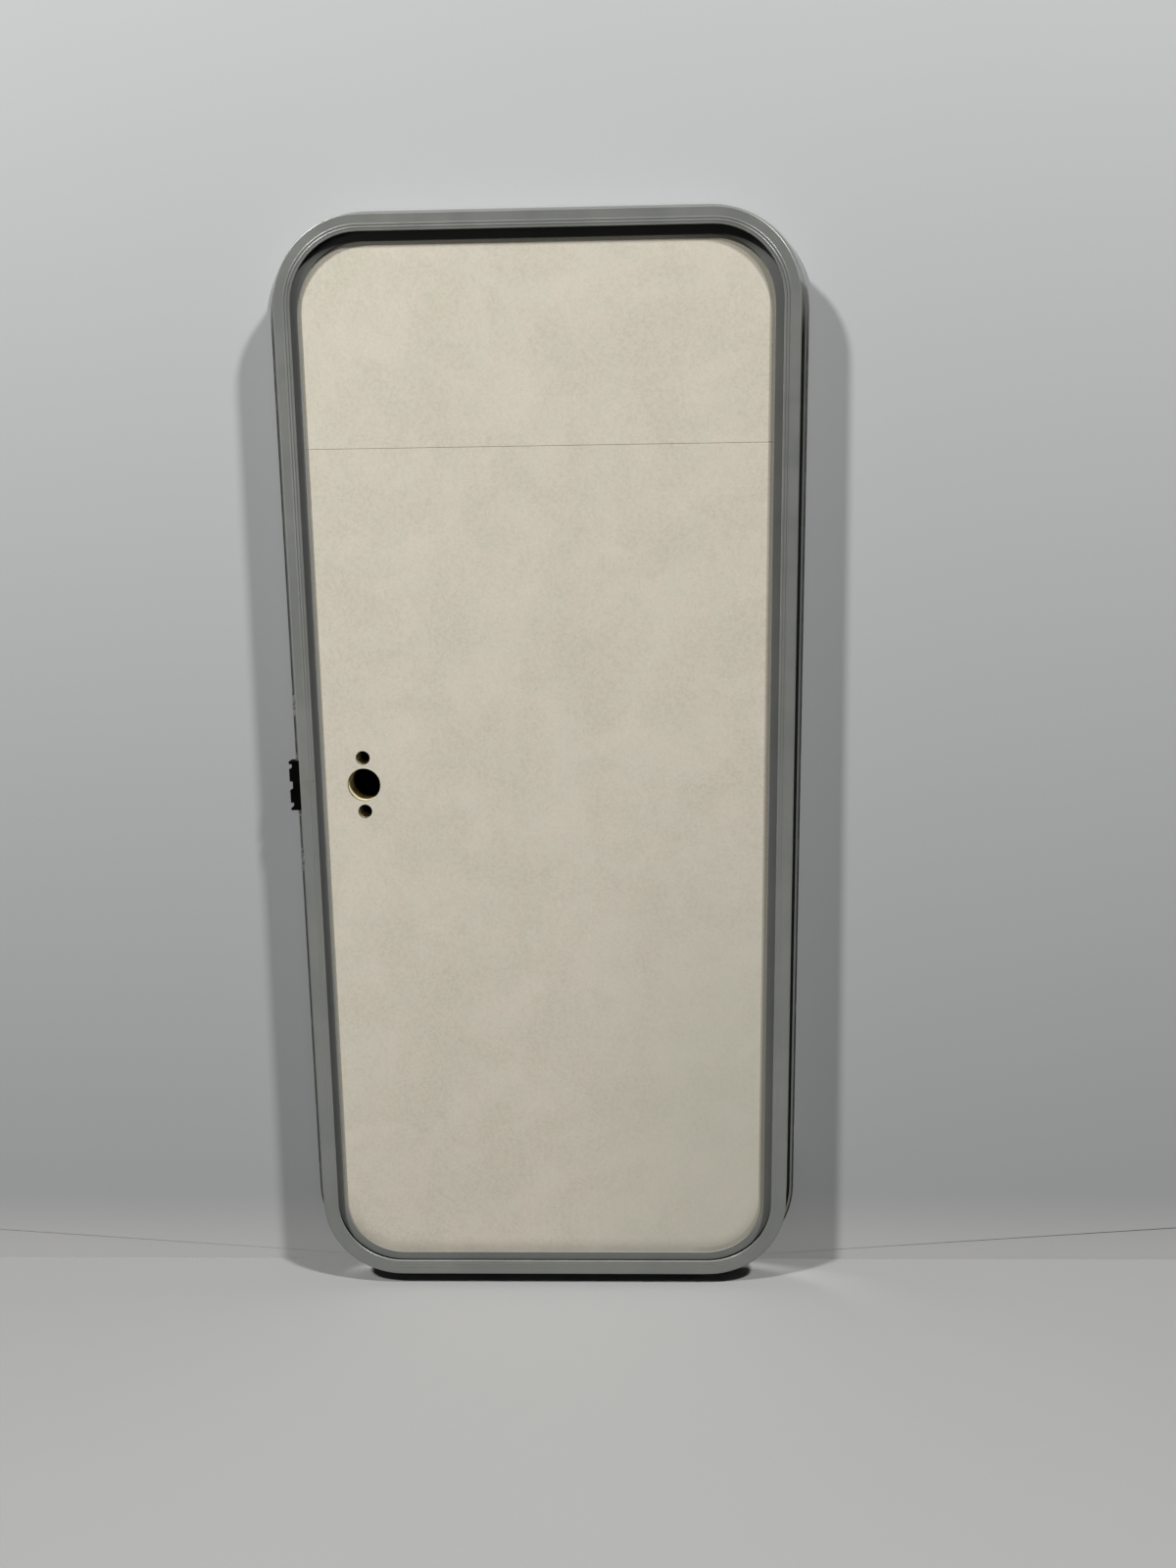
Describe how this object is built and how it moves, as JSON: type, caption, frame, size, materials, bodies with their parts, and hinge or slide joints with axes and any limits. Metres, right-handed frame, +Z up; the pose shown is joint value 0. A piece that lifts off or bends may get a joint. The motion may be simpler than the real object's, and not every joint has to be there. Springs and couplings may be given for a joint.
{
  "type": "caravan service hatch",
  "caption": "Tall round-cornered service hatch: bent aluminium frame with ribbed inner ring and outer flange, and an insulated door on a long outside hinge.",
  "frame": {"origin": "on the mounting face of the outer flange, in the middle of the lower run", "axes": "+X to the right seen from inside the vehicle, +Y out of the vehicle, +Z up"},
  "size_m": [0.4842, 0.0466, 1.0249],
  "materials": {
    "frame_grey": "satin grey coating on aluminium",
    "black_rubber": "matt",
    "zinc_steel": "zinc plated",
    "black_plastic": "moulded, matt",
    "hinge_aluminium": "satin anodised",
    "cream_board": "cream decor film with a faint mottle",
    "timber": "raw timber",
    "foam": "foam core",
    "white_skin": "white coated sheet"
  },
  "bodies": {
    "frame": {"frame_profile": "frame_grey", "flange_gasket": "black_rubber", "rim_seal": "black_rubber", "stop_seal": "black_rubber", "joint_plate": "zinc_steel", "joint_screws": "zinc_steel", "lock_keeper": "black_plastic", "keeper_screws": "zinc_steel", "hinge_frame_leaf": "hinge_aluminium", "hinge_pin": "zinc_steel", "hinge_cap_top": "black_plastic", "hinge_cap_bottom": "black_plastic"},
    "door": {"door_edge_trim": "frame_grey", "inner_board_upper": "cream_board", "inner_board_lower": "cream_board", "lock_block": "timber", "door_core": "foam", "outer_skin": "white_skin", "door_seal": "black_rubber", "hinge_door_leaf": "hinge_aluminium", "hinge_door_screws": "zinc_steel"}
  },
  "joints": [
    {"name": "hatch_hinge", "type": "hinge", "parent": "frame", "child": "door", "pos_m": [0.236, 0.009, 0.50325], "axis": [0, 0, -1], "range_deg": [0, 110]}
  ]
}
